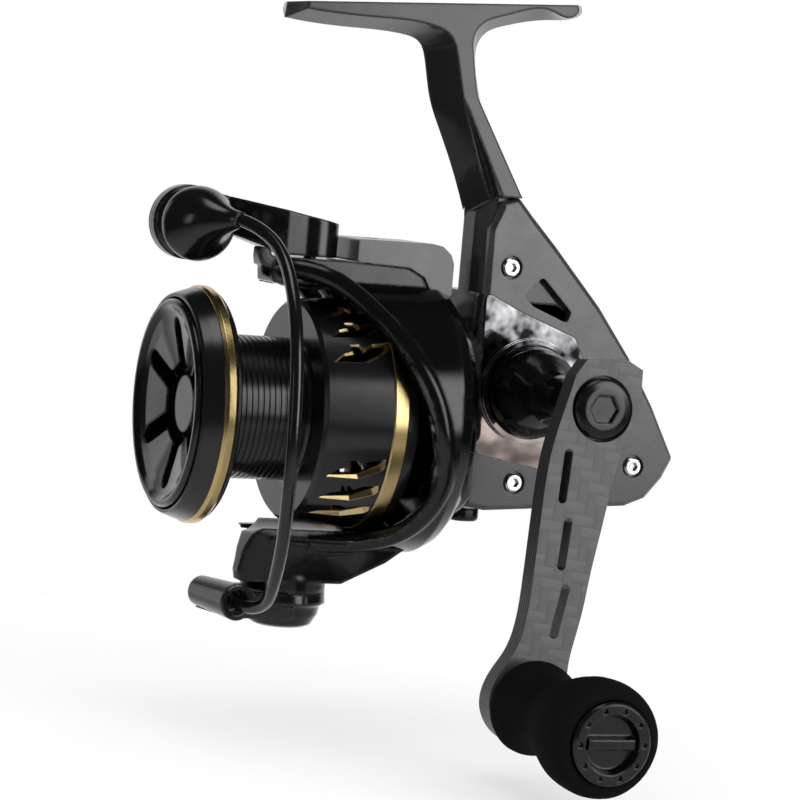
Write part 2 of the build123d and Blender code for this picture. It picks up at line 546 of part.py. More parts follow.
# Centre line of the rounded hoop along each front edge of the cup.
HOOP = [(15.4, 28.6, 22.4), (19.6, 33.6, 17.2), (23.1, 37.6, 11.6), (25.3, 41.2, 4.6),
        (25.7, 43.4, -3.0), (24.0, 44.6, -9.8), (19.8, 43.2, -16.8),
        (14.6, 40.0, -21.6), (10.0, 34.0, -24.2), (7.4, 24.0, -25.0)]
HOOP_NEAR = [(5.0, 12.2, 27.2), (8.8, 15.6, 27.7), (12.6, 22.4, 26.4)]
HOOP_FAR = [(-5.6, 17.8, 27.4), (-8.8, 19.8, 27.5), (-12.4, 23.8, 25.9)]
HOOP_R = 1.9
with BuildPart() as rotor:
    turn(side(0), SHAFT, [
        (16.0, 24.2), (16.0, 26.0), (30.0, 27.0), (46.2, 27.0), (48.6, 25.8),
        (50.6, 23.6), (50.6, 20.4), (48.4, 20.2), (46.3, 24.2)])
    plate(side(-40), SIDE_CUT, 80, Mode.SUBTRACT)
    plate(side(-ARM_HALF), ARM_TOP_SIDE, 2 * ARM_HALF, radius=0.5)
    plate(side(-ARM_HALF), ARM_LOW_SIDE, 2 * ARM_HALF, radius=0.6)
    turn(PIVOT_PLANE, PIVOT, [(0, -30), (7.6, -30), (8.3, -32.0), (8.3, GAP_Z + 0.1),
                              (0, GAP_Z + 0.1)])
    # The far front corners of both arm heads are cut back.
    plate(above(24.0), [(-8.4, 8.5), (6.0, 8.5), (-8.4, 17.0)], 8.0, Mode.SUBTRACT)
    plate(above(-33.5), [(-8.4, 8.5), (6.4, 8.5), (5.0, 10.4), (-8.4, 19.5)], 13.0,
          Mode.SUBTRACT)
    for hand, start in ((1, HOOP_NEAR), (-1, HOOP_FAR)):
        with BuildLine() as hoop_path:
            Spline(*[at(*p) for p in start], *[at(hand * x, y, z) for x, y, z in HOOP])
        with BuildSketch(Plane(origin=hoop_path.line @ 0,
                               z_dir=hoop_path.line % 0)) as hoop_section:
            Circle(HOOP_R)
        sweep(hoop_section.sketch, path=hoop_path.line)
    # Room for the spool skirt, then the hub, web and cup floor.
    turn(side(0), SHAFT, ring(8.0, 46.3, 0, 23.9), Mode.SUBTRACT)
    turn(side(0), SHAFT, [
        (31.0, 3.03), (31.0, 6.3), (40.6, 7.6), (41.2, 15.9), (46.3, 16.4), (46.3, 24.2),
        (48.4, 24.2), (48.4, 14.4), (43.2, 14.4), (43.2, 3.03)])
    # Seat of the arm cover.
    plate(side(-ARM_HALF - 0.55), [(28.0, TOP_Z), (40.0, 29.2), (43.1, 27.6), (45.0, 24.5),
                                   (49.6, 24.1), (49.6, 36.0), (28.0, 36.0)],
          2 * ARM_HALF + 1.1, Mode.SUBTRACT)
    # Bores for the two pivot screws, the spring channel and the cover screw.
    turn(PIVOT_PLANE, PIVOT, ring(0, 1.25, 26.5, 33.0), Mode.SUBTRACT)
    turn(PIVOT_PLANE, PIVOT, ring(0, 1.25, -36.0, -27.5), Mode.SUBTRACT)
    block(1.4, 5.0, 28.6, 41.4, 25.4, 31.0, Mode.SUBTRACT)
    rod(above(25.5), (-3.0, 36.0), 0.8, 5.0, Mode.SUBTRACT)
rotor.part.label = "rotor"
export_step(rotor.part, "parts/rotor.step")

with BuildPart() as arm_cover:
    plate(side(-ARM_HALF - 0.4), [(29.2, TOP_Z + 0.1), (40.1, 29.35), (43.3, 27.75),
                                  (45.2, 24.7), (49.3, 24.3), (49.3, 30.6), (48.6, 32.4),
                                  (46.8, 33.9), (44.6, 34.3), (29.2, 34.2)],
          2 * ARM_HALF + 0.8, radius=0.5)
    rod(above(28.0), (-3.0, 36.0), 0.95, 8.0, Mode.SUBTRACT)
    rod(above(33.3), (-3.0, 36.0), 1.7, 2.0, Mode.SUBTRACT)
arm_cover.part.label = "arm_cover"
export_step(arm_cover.part, "parts/arm_cover.step")

with BuildPart() as arm_cover_screw:
    rod(above(26.0), (-3.0, 36.0), 0.75, 7.4)
    rod(above(33.35), (-3.0, 36.0), 1.6, 0.8)
    with BuildSketch(above(34.2)) as drive:
        with Locations((-3.0, 36.0)):
            RegularPolygon(0.8, 6)
    extrude(drive.sketch, amount=-0.6, mode=Mode.SUBTRACT)
arm_cover_screw.part.label = "arm_cover_screw"
export_step(arm_cover_screw.part, "parts/arm_cover_screw.step")

with BuildPart() as bail_spring:
    spring_axis = Plane(origin=at(3.2, 29.0, 27.4), x_dir=(1, 0, 0), z_dir=(0, 1, 0))
    coil = spring_axis * Helix(pitch=1.2, height=11.6, radius=1.1)
    with BuildSketch(Plane(origin=coil @ 0, z_dir=coil % 0)) as wire_section:
        Circle(0.25)
    sweep(wire_section.sketch, path=coil)
bail_spring.part.label = "bail_spring"
export_step(bail_spring.part, "parts/bail_spring.step")

with BuildPart() as rotor_nut:
    with BuildSketch(front(30.9)) as hexagon:
        RegularPolygon(5.4, 6)
        Circle(2.84, mode=Mode.SUBTRACT)
    extrude(hexagon.sketch, amount=4.0)
    chamfer(rotor_nut.faces().sort_by(Axis.Y)[0].outer_wire().edges(), 0.4)
rotor_nut.part.label = "rotor_nut"
export_step(rotor_nut.part, "parts/rotor_nut.step")

with BuildPart() as clutch_sleeve:
    turn(side(0), SHAFT, ring(43.3, 47.6, 3.03, 5.0))
clutch_sleeve.part.label = "clutch_sleeve"
export_step(clutch_sleeve.part, "parts/clutch_sleeve.step")

with BuildPart() as bail_pivot_screws:
    turn(PIVOT_PLANE, PIVOT, [(0, 26.6), (1.2, 26.6), (1.2, 30.2), (1.5, 30.2), (1.5, 35.2),
                              (2.6, 35.2), (2.6, 36.2), (2.3, 36.5), (0, 36.5)])
    turn(PIVOT_PLANE, PIVOT, [(0, -28.0), (1.2, -28.0), (1.2, -35.4), (1.5, -35.4),
                              (1.5, -40.6), (2.6, -40.6), (2.6, -41.6), (2.3, -41.9),
                              (0, -41.9)])
    for z, depth in ((36.6, -0.8), (-42.0, 0.8)):
        with BuildSketch(above(z)) as drive:
            with Locations((0, PIVOT_Y)):
                RegularPolygon(1.2, 6)
        extrude(drive.sketch, amount=depth, mode=Mode.SUBTRACT)
bail_pivot_screws.part.label = "bail_pivot_screws"
export_step(bail_pivot_screws.part, "parts/bail_pivot_screws.step")

# ---------------------------------------------------------------------- bail
HEAD_R = 7.2  # arm head and cone base
with BuildPart() as bail_arm:
    plate(above(TOP_Z + 0.3), [(-8.4, -5.0), (-4.4, -5.0), (-4.4, 6.8), (-1.0, 9.6),
                               (4.6, 15.8), (4.6, PIVOT_Y), (-4.6, PIVOT_Y), (-5.2, 13.0),
                               (-8.4, 6.0)], 12.0)
    # The underside rises towards the head.
    plate(side(-9), [(-6, 29), (16.0, 29), (16.0, TOP_Z + 0.3), (8.0, 32.8), (-6, 33.5)], 16,
          Mode.SUBTRACT)
    turn(PIVOT_PLANE, PIVOT, ring(0, 5.2, TOP_Z + 0.3, 41.0))
    plate(side(-12), [(-9, 40.2), (-4.4, 40.9), (0.6, 41.3), (28.5, 36.3), (28.5, 60),
                      (-9, 60)], 24, Mode.SUBTRACT)
    plate(side(-12), [(-9, 28), (-5.6, 33), (-6.6, 36), (-4.6, 39.6), (-1.4, 41.6),
                      (-1.4, 60), (-9, 60)], 24, Mode.SUBTRACT)
    turn(ROLLER_PLANE, ROLLER, [(-8.4, 0), (-8.4, HEAD_R - 0.8), (-7.6, HEAD_R),
                                (-4.4, HEAD_R), (-4.4, 0)])
    plate(side(-7.4), [(2.0, 30.6), (6.5, 32.0), (11.0, 34.0), (2.0, 38.0)], 3.0)
    turn(ROLLER_PLANE, ROLLER, ring(-8.5, -4.3, 0, 1.55), Mode.SUBTRACT)
    turn(PIVOT_PLANE, PIVOT, ring(0, 1.55, 29.0, 42.0), Mode.SUBTRACT)
    turn(PIVOT_PLANE, PIVOT, ring(0, 2.7, 35.1, 42.0), Mode.SUBTRACT)
bail_arm.part.label = "bail_arm"
export_step(bail_arm.part, "parts/bail_arm.step")

WIRE_R = 1.25
WIRE_PATH = [
    (11.6, 3.9, 36.1), (15.4, 6.1, 34.9), (19.6, 7.9, 32.7), (26.7, 8.8, 27.0),
    (34.5, 8.4, 15.6), (37.7, 8.1, 1.0), (35.6, 8.9, -13.5), (29.5, 10.6, -24.4),
    (22.0, 12.3, -31.9), (15.5, 13.2, -36.0), (10.8, 12.2, -37.4), (7.2, 10.6, -36.8),
]
with BuildPart() as bail_wire:
    with BuildLine() as wire_path:
        Spline(*[at(*p) for p in WIRE_PATH])
    with BuildSketch(Plane(origin=wire_path.line @ 0, z_dir=wire_path.line % 0)) as section:
        Circle(WIRE_R)
    sweep(section.sketch, path=wire_path.line)
bail_wire.part.label = "bail_wire"
export_step(bail_wire.part, "parts/bail_wire.step")

with BuildPart() as bail_cone:
    aim = wire_path.line % 0
    sections = []
    for x, y, z, radius, lean in ((0.8, 0, 0, HEAD_R, 0.0), (2.6, 0.2, 0.1, 6.9, 0.1),
                                  (5.4, 1.2, 0.5, 5.2, 0.5), (8.6, 2.9, 1.0, 2.9, 0.8)):
        facing = Vector(1, 0, 0) * (1 - lean) + aim * lean
        with BuildSketch(Plane(origin=at(x, ROLLER_Y + y, ROLLER_Z + z),
                               z_dir=facing)) as station:
            Circle(radius)
        sections.append(station.sketch.face())
    with BuildSketch(Plane(origin=wire_path.line @ 0 - aim * 0.05, z_dir=aim)) as station:
        Circle(1.6)
    sections.append(station.sketch.face())
    loft(sections)
    turn(ROLLER_PLANE, ROLLER, ring(0.7, 4.0, 0, 1.52), Mode.SUBTRACT)
bail_cone.part.label = "bail_cone"
export_step(bail_cone.part, "parts/bail_cone.step")

with BuildPart() as roller_screw:
    turn(ROLLER_PLANE, ROLLER, [(-9.0, 0), (-9.0, 2.4), (-8.7, 2.7), (-8.45, 2.7),
                                (-8.45, 1.5), (3.9, 1.5), (3.9, 0)])
    with BuildSketch(side(-9.1)) as drive:
        with Locations((ROLLER_Y, ROLLER_Z)):
            Rectangle(4.4, 0.7)
    extrude(drive.sketch, amount=0.5, mode=Mode.SUBTRACT)
roller_screw.part.label = "roller_screw"
export_step(roller_screw.part, "parts/roller_screw.step")

with BuildPart() as line_roller:
    turn(ROLLER_PLANE, ROLLER, [(-4.15, 3.03), (-4.15, 6.9), (-3.6, 7.0), (-2.6, 5.7),
                                (-0.9, 5.7), (0.1, 7.0), (0.55, 6.9), (0.55, 3.03)])
line_roller.part.label = "line_roller"
export_step(line_roller.part, "parts/line_roller.step")

with BuildPart() as roller_bearing:
    turn(ROLLER_PLANE, ROLLER, bearing(-4.0, 0.4, 1.54, 3.0))
roller_bearing.part.label = "roller_bearing"
export_step(roller_bearing.part, "parts/roller_bearing.step")

SOCKET_DIR = Vector(0.979, 0.204, 0)
with BuildPart() as bail_holder:
    turn(PIVOT_PLANE, PIVOT, [(0, GAP_Z - 0.2), (8.3, GAP_Z - 0.2), (8.5, -37.2),
                              (7.5, -38.0), (7.2, -39.6), (6.0, -41.6), (5.0, -42.1),
                              (0, -42.1)])
    plate(above(-40.2), [(-5.6, 7.0), (6.4, 9.8), (7.6, PIVOT_Y), (-7.6, PIVOT_Y)],
          GAP_Z - 0.2 + 40.2)
    socket = Plane(origin=at(-5.6, 7.8, -36.9), z_dir=SOCKET_DIR)
    with BuildSketch(socket) as closed_end:
        Circle(3.0)
    with BuildSketch(socket.offset(13.9)) as open_end:
        Circle(3.6)
    loft([closed_end.sketch.face(), open_end.sketch.face()])
    with BuildSketch(socket.offset(14.0)) as mouth:
        Circle(2.4)
    extrude(mouth.sketch, amount=-3.0, mode=Mode.SUBTRACT)
    turn(PIVOT_PLANE, PIVOT, ring(0, 1.55, -43, -35), Mode.SUBTRACT)
    turn(PIVOT_PLANE, PIVOT, ring(0, 2.7, -43, -40.5), Mode.SUBTRACT)
bail_holder.part.label = "bail_holder"
export_step(bail_holder.part, "parts/bail_holder.step")

# ------------------------------------------------------- main shaft and spool
with BuildPart() as main_shaft:
    turn(side(0), SHAFT, [(0.5, 0), (0.5, 1.3), (0.7, SHAFT_R), (84.3, SHAFT_R),
                          (84.5, 1.3), (84.5, 0)])
main_shaft.part.label = "main_shaft"
export_step(main_shaft.part, "parts/main_shaft.step")

with BuildPart() as crosswind_block:
    block(-3.2, 1.9, 74.7, 81.7, -9.2, 3.0)
    block(-3.3, -2.0, 76.8, 79.6, -8.6, 3.1, Mode.SUBTRACT)
    rod(front(82.0), (0, 0), SHAFT_R + 0.02, 8.0, Mode.SUBTRACT)
    rod(front(82.0), (0, -7.5), 1.05, 8.0, Mode.SUBTRACT)
crosswind_block.part.label = "crosswind_block"
export_step(crosswind_block.part, "parts/crosswind_block.step")

with BuildPart() as spool_seat:
    turn(side(0), SHAFT, [(10.2, SHAFT_R + 0.02), (10.2, 4.6), (11.2, 5.2), (13.0, 5.2),
                          (13.0, SHAFT_R + 0.02)])
spool_seat.part.label = "spool_seat"
export_step(spool_seat.part, "parts/spool_seat.step")

with BuildPart() as steel_drag_discs:
    turn(side(0), SHAFT, ring(4.0, 4.7, SHAFT_R + 0.02, 10.8))
    turn(side(0), SHAFT, ring(5.6, 6.3, SHAFT_R + 0.02, 10.8))
steel_drag_discs.part.label = "steel_drag_discs"
export_step(steel_drag_discs.part, "parts/steel_drag_discs.step")

with BuildPart() as felt_drag_discs:
    for start in (3.2, 4.8, 6.4):
        turn(side(0), SHAFT, ring(start, start + 0.7, 3.0, 11.9))
felt_drag_discs.part.label = "felt_drag_discs"
export_step(felt_drag_discs.part, "parts/felt_drag_discs.step")

ARBOR_R = 13.9
GROOVE_PITCH = 1.15
PORT = [(0.0, -0.4), (5.6, 0.0), (9.4, 2.2), (10.2, 3.4), (7.4, 3.0), (5.6, 1.8),
        (4.6, 3.0), (3.2, 3.0), (3.6, 1.4), (1.6, 0.9)]
with BuildPart() as spool:
    turn(side(0), SHAFT, [
        (-3.8, 20.4), (-3.8, 21.0), (-3.3, 21.3), (-1.6, 21.9), (0.0, 22.4), (0.0, 21.2),
        (2.7, 21.2), (2.7, 22.0), (3.2, 22.0), (3.6, 21.6), (4.2, ARBOR_R + 0.4),
        (4.8, ARBOR_R), (19.6, ARBOR_R), (20.2, ARBOR_R + 0.4), (20.2, 20.8),
        (20.9, 21.6), (33.8, 22.5), (33.8, 21.8), (37.0, 21.8), (37.0, 22.5),
        (39.0, 22.2), (39.0, 21.2), (22.6, 20.4), (22.2, 12.2), (10.0, 12.2),
        (10.0, SHAFT_R + 0.06), (8.0, SHAFT_R + 0.06), (8.0, 12.4), (2.4, 12.4),
        (2.4, 19.5)])
    for k in range(12):
        groove_y = 5.8 + k * GROOVE_PITCH
        turn(side(0), SHAFT, ring(groove_y, groove_y + 0.35, ARBOR_R - 0.25, ARBOR_R + 0.2),
             Mode.SUBTRACT)
    for group in range(4):
        for step in (-1, 0, 1):
            a = radians(47 + 90 * group + 15 * step)
            out = (cos(a), 0, sin(a))
            port_plane = Plane(origin=at(24 * cos(a), 23.0, 24 * sin(a)),
                               x_dir=(0, 1, 0), z_dir=out)
            plate(port_plane, PORT, -6.0, Mode.SUBTRACT)
            with BuildSketch(port_plane.offset(-1.5)) as port_mouth:
                with BuildLine():
                    Polyline(*PORT, close=True)
                make_face()
                offset(amount=0.9, kind=Kind.INTERSECTION)
            extrude(port_mouth.sketch, amount=-1.2, taper=40, mode=Mode.SUBTRACT)
spool.part.label = "spool"
export_step(spool.part, "parts/spool.step")

with BuildPart() as lip_ring:
    turn(side(0), SHAFT, [(0.04, 21.24), (0.04, 22.45), (0.7, 22.85), (2.0, 22.85),
                          (2.66, 22.3), (2.66, 21.24)])
lip_ring.part.label = "lip_ring"
export_step(lip_ring.part, "parts/lip_ring.step")

with BuildPart() as skirt_ring:
    turn(side(0), SHAFT, [(33.84, 21.84), (33.84, 22.6), (34.1, 22.85), (36.7, 22.75),
                          (36.96, 22.5), (36.96, 21.84)])
skirt_ring.part.label = "skirt_ring"
export_step(skirt_ring.part, "parts/skirt_ring.step")

with BuildPart() as drag_retainer:
    turn(side(0), SHAFT, ring(2.5, 3.1, 11.2, 12.35))
    block(9.0, 13.0, 2.4, 3.2, -1.2, 1.2, Mode.SUBTRACT)
drag_retainer.part.label = "drag_retainer"
export_step(drag_retainer.part, "parts/drag_retainer.step")

# ----------------------------------------------------------------- drag knob
POCKET_W = 3.8  # width of the six pockets that part the dish into rounded lobes
POCKET_IN = 7.4  # pocket ends, as radii from the shaft axis
POCKET_OUT = 14.6
with BuildPart() as drag_knob:
    turn(side(0), SHAFT, [(-3.9, 17.6), (-4.3, 18.2), (-4.8, 18.8), (-4.8, 19.5), (-4.2, 20.0),
                          (-3.4, 20.0), (2.1, 19.1), (2.1, 9.0), (3.1, 9.0), (3.1, 0),
                          (-0.7, 0), (-0.7, 5.6), (-1.4, 7.2), (-3.3, 15.6)])
    with BuildSketch(front(1.2)) as star:
        Circle(8.0)
        with PolarLocations((POCKET_IN + POCKET_OUT) / 2, 6, start_angle=30):
            SlotCenterToCenter(POCKET_OUT - POCKET_IN, POCKET_W)
        fillet(star.vertices(), 1.2)
        Circle(5.5, mode=Mode.SUBTRACT)
    extrude(star.sketch, amount=6.0, mode=Mode.SUBTRACT)
    with BuildSketch(front(3.2)) as nut_pocket:
        RegularPolygon(4.1, 6)
    extrude(nut_pocket.sketch, amount=2.9, mode=Mode.SUBTRACT)
drag_knob.part.label = "drag_knob"
export_step(drag_knob.part, "parts/drag_knob.step")

with BuildPart() as drag_nut:
    with BuildSketch(front(3.0)) as nut_outline:
        RegularPolygon(4.0, 6)
        Circle(SHAFT_R + 0.06, mode=Mode.SUBTRACT)
    extrude(nut_outline.sketch, amount=2.5)
drag_nut.part.label = "drag_nut"
export_step(drag_nut.part, "parts/drag_nut.step")
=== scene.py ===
import json
import math

import bmesh
import bpy
from mathutils import Matrix, Vector, noise


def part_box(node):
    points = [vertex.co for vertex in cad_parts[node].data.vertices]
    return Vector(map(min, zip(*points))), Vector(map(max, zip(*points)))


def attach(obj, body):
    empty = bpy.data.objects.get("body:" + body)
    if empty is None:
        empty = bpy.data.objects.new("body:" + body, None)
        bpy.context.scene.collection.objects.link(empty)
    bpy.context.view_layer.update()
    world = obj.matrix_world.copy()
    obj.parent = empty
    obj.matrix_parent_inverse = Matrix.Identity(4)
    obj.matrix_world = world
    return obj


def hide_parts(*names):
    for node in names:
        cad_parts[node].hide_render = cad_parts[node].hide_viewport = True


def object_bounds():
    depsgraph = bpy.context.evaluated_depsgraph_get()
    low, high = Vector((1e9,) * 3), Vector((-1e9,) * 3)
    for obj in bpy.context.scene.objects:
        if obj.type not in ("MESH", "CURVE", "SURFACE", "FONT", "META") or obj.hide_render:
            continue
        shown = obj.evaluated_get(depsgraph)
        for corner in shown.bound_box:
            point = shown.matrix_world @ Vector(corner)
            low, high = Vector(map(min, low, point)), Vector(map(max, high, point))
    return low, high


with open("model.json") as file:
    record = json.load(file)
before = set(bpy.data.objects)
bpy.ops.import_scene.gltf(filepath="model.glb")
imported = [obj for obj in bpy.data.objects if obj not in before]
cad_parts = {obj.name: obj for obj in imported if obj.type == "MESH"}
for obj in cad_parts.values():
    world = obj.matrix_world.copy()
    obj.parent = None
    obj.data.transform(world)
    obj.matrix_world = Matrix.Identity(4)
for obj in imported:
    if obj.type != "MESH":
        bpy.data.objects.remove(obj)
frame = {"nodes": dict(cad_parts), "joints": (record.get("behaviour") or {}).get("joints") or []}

# Spinning reel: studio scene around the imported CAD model.  Metres, in the row frame:
# +Z up towards the rod, -Y forward along the spool shaft, +X towards the handle.
CAD_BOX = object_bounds()
MM = 0.001

CAMERA_AZIMUTH = 67.5  # degrees round +Z from the front towards the handle side
CAMERA_ELEVATION = 4.3
CAMERA_ROLL = 4.9  # clockwise
CAMERA_PLACE = Vector((0.54502, -0.22681, -0.03360))
LENS = 135.0
SENSOR = 36.0

JOINTS = {joint["name"]: joint for joint in frame["joints"]}
CRANK_AXIS = Vector(JOINTS["crank_turn"]["pos_m"])
SHAFT_AXIS = Vector(JOINTS["rotor_turn"]["pos_m"])
KNOB_AXIS = Vector(JOINTS["knob_spin"]["pos_m"])
ROLLER_AXIS = Vector(JOINTS["line_roller_spin"]["pos_m"])
X, Y, Z = Vector((1, 0, 0)), Vector((0, 1, 0)), Vector((0, 0, 1))

EDGE_SAMPLES = 6
EDGE_STARTS = 0.995  # cosine between flat and rounded normal where an edge begins
EDGE_FULL = 0.86


# ------------------------------------------------------------------ shader kit
class NodeTree:
    """Short calls for building the nodes of a material, a light or the world."""

    def __init__(self, owner):
        owner.use_nodes = True
        self.tree = owner.node_tree
        self.tree.nodes.clear()

    def add(self, kind, **values):
        node = self.tree.nodes.new("ShaderNode" + kind)
        for key, value in values.items():
            setattr(node, key, value)
        return node

    def link(self, source, target):
        self.tree.links.new(source, target)

    def put(self, target, value):
        """Link a socket, or set a plain value."""
        if isinstance(value, bpy.types.NodeSocket):
            self.link(value, target)
        else:
            target.default_value = value

    def maths(self, operation, a, b=0.0):
        node = self.add("Math", operation=operation)
        for socket, value in zip(node.inputs, (a, b)):
            self.put(socket, value)
        return node.outputs[0]

    def vector(self, operation, a, b=(0, 0, 0)):
        node = self.add("VectorMath", operation=operation)
        self.put(node.inputs[0], a)
        self.put(node.inputs[1], b)
        name = "Value" if operation in ("DOT_PRODUCT", "LENGTH") else "Vector"
        return node.outputs[name]

    def remap(self, value, low, high, to_low=0.0, to_high=1.0, curve="LINEAR"):
        node = self.add("MapRange", clamp=True, interpolation_type=curve)
        for socket, number in zip(node.inputs, (value, low, high, to_low, to_high)):
            self.put(socket, number)
        return node.outputs[0]


class Shader(NodeTree):
    """A material under construction."""

    def __init__(self, name):
        self.material = bpy.data.materials.new(name)
        super().__init__(self.material)
        self.out = self.add("OutputMaterial")
        self.bsdf = self.add("BsdfPrincipled")
        self.link(self.bsdf.outputs["BSDF"], self.out.inputs["Surface"])
        self.place = self.add("TexCoord").outputs["Object"]
        self.geometry = self.add("NewGeometry")

    def set(self, **values):
        """Inputs of the main shader, by name with _ for a space."""
        for key, value in values.items():
            self.put(self.bsdf.inputs[key.replace("_", " ")], value)

    def along(self, axis, origin=(0, 0, 0)):
        """Distance along an axis from a point."""
        offset = self.vector("SUBTRACT", self.place, tuple(origin))
        return self.vector("DOT_PRODUCT", offset, tuple(axis))

    def radius(self, axis, origin):
        """Distance from a line."""
        offset = self.vector("SUBTRACT", self.place, tuple(origin))
        across = self.vector("CROSS_PRODUCT", offset, tuple(axis))
        return self.vector("LENGTH", across)

    def noise(self, scale, detail=3.0, rough=0.5, place=None):
        node = self.add("TexNoise")
        self.put(node.inputs["Vector"], place or self.place)
        self.put(node.inputs["Scale"], scale)
        self.put(node.inputs["Detail"], detail)
        self.put(node.inputs["Roughness"], rough)
        return node.outputs["Fac"]

    def cells(self, scale):
        node = self.add("TexVoronoi")
        self.put(node.inputs["Vector"], self.place)
        self.put(node.inputs["Scale"], scale)
        return node.outputs["Distance"]

    def mix(self, factor, a, b):
        """Blend of two colours."""
        node = self.add("Mix", data_type="RGBA")
        self.put(node.inputs["Factor"], factor)
        self.put(node.inputs["A"], (*a, 1.0) if isinstance(a, tuple) else a)
        self.put(node.inputs["B"], (*b, 1.0) if isinstance(b, tuple) else b)
        return node.outputs["Result"]

    def choose(self, factor, a, b):
        """Blend of two numbers."""
        node = self.add("Mix", data_type="FLOAT")
        self.put(node.inputs["Factor"], factor)
        self.put(node.inputs["A"], a)
        self.put(node.inputs["B"], b)
        return node.outputs["Result"]

    def soft_edges(self, radius):
        """Normal with edges rounded by radius, and how near an edge is."""
        bevel = self.add("Bevel", samples=EDGE_SAMPLES)
        bevel.inputs["Radius"].default_value = radius
        rounded = bevel.outputs["Normal"]
        dot = self.vector("DOT_PRODUCT", rounded, self.geometry.outputs["Normal"])
        return rounded, self.remap(dot, EDGE_STARTS, EDGE_FULL)

    def waves(self, run, pitch):
        """Sine wave that repeats each pitch along a distance."""
        return self.maths("SINE", self.maths("MULTIPLY", run, 2 * math.pi / pitch))

    def bump(self, height, distance, normal=None):
        """Normal tilted by a height map that is distance metres deep."""
        node = self.add("Bump")
        self.put(node.inputs["Height"], height)
        node.inputs["Distance"].default_value = distance
        if normal is not None:
            self.link(normal, node.inputs["Normal"])
        return node.outputs["Normal"]


def grey(value, tint=0.0):
    """Neutral colour, bluer with more tint."""
    return (value, value, value * (1 + tint))


# ------------------------------------------------------------------- materials
# Depths and pitches of the fine relief.
GROOVE_DEPTH = 0.12 * MM
PEEL_DEPTH = 0.04 * MM
GRAIN_DEPTH = 0.012 * MM
TURNING_PITCH = 0.22 * MM
TURNING_DEPTH = 0.004 * MM
TRIM_WAVE_DEPTH = 0.6 * MM
WEAVE_LEAN = math.radians(8)
WEAVE_DEPTH = 0.12 * MM
WARP_FIBRES = (900, 9000, 500)  # noise frequencies per metre in x, y, z
WEFT_FIBRES = (900, 500, 9000)
TOW_WIDTH = 2.1 * MM
PLY_PITCH = 0.87 * MM
FOAM_CELL_DEPTH = 0.11 * MM
FELT_DEPTH = 0.1 * MM
SPOOL_TURNING_PITCH = 0.2 * MM
SPOOL_TURNING_DEPTH = 0.0015 * MM
# Where the spool's skirt ports show gold: their start behind the lip ring, their gap to
# the skirt ring, and the radius beyond which a cut face belongs to a port.
PORT_START = 19.6 * MM
PORT_RING_GAP = 0.3 * MM
PORT_RADIUS = 20.85 * MM

# Colours, linear.
GOLD = (0.85, 0.64, 0.30)
PORT_GOLD = (0.80, 0.62, 0.30)
STEEL = (0.62, 0.62, 0.63)
BRIGHT_STEEL = (0.80, 0.79, 0.77)
BRASS = (0.74, 0.55, 0.25)
WARP_TONE = grey(0.042, 0.08)
WEFT_TONE = grey(0.058, 0.08)


def gloss_black(name, base, rough, edge, coat, ripple=0.35, grooves=None):
    """Polished black enamel: faint orange peel and smears, worn edges, turned grooves.

    Edges are rounded by edge; grooves is an axis point, a reach from it and a pitch.
    """
    s = Shader(name)
    normal, near_edge = s.soft_edges(edge)
    if grooves:
        origin, reach, pitch = grooves
        ridges = s.remap(s.waves(s.along(X, origin), pitch), -0.2, 0.5)
        near = s.remap(s.radius(X, origin), reach, reach * 0.93)
        normal = s.bump(s.maths("MULTIPLY", ridges, near), GROOVE_DEPTH, normal)
    wear = s.maths("MULTIPLY", near_edge, s.remap(s.noise(900, 4, 0.65), 0.45, 0.75))
    tone = s.mix(s.noise(70, 3), grey(base), grey(base * 1.8, 0.1))
    s.set(Base_Color=s.mix(wear, tone, grey(0.06, 0.05)))
    smear = s.remap(s.noise(160, 5, 0.6), 0.3, 0.8, rough, rough + 0.10)
    s.set(Roughness=s.maths("ADD", smear, s.maths("MULTIPLY", wear, 0.15)))
    s.set(IOR=1.5, Coat_Weight=coat, Coat_Roughness=0.05)
    peel = s.bump(s.noise(420, 2), ripple * PEEL_DEPTH, normal)
    s.set(Normal=peel, Coat_Normal=normal)
    return s.material


def satin_black(name, base, rough, metallic=0.0, coat=0.7):
    """Satin finish on a casting: metal flake, fine grain, worn edges."""
    s = Shader(name)
    normal, near_edge = s.soft_edges(0.4 * MM)
    flake = s.remap(s.cells(5200), 0.0, 0.5, 1.0, 0.0)
    tone = s.mix(s.noise(60, 4), grey(base, 0.08), grey(base * 1.5, 0.12))
    tone = s.mix(s.maths("MULTIPLY", flake, 0.18), tone, grey(0.16, 0.1))
    wear = s.maths("MULTIPLY", near_edge, s.remap(s.noise(700, 4, 0.65), 0.4, 0.8))
    s.set(Base_Color=s.mix(wear, tone, grey(0.16, 0.05)), Metallic=metallic)
    s.set(Roughness=s.remap(s.noise(220, 4, 0.6), 0.3, 0.8, rough - 0.06, rough + 0.08))
    s.set(Coat_Weight=coat, Coat_Roughness=0.16)
    s.set(Normal=s.bump(s.noise(2600, 3), GRAIN_DEPTH, normal))
    return s.material


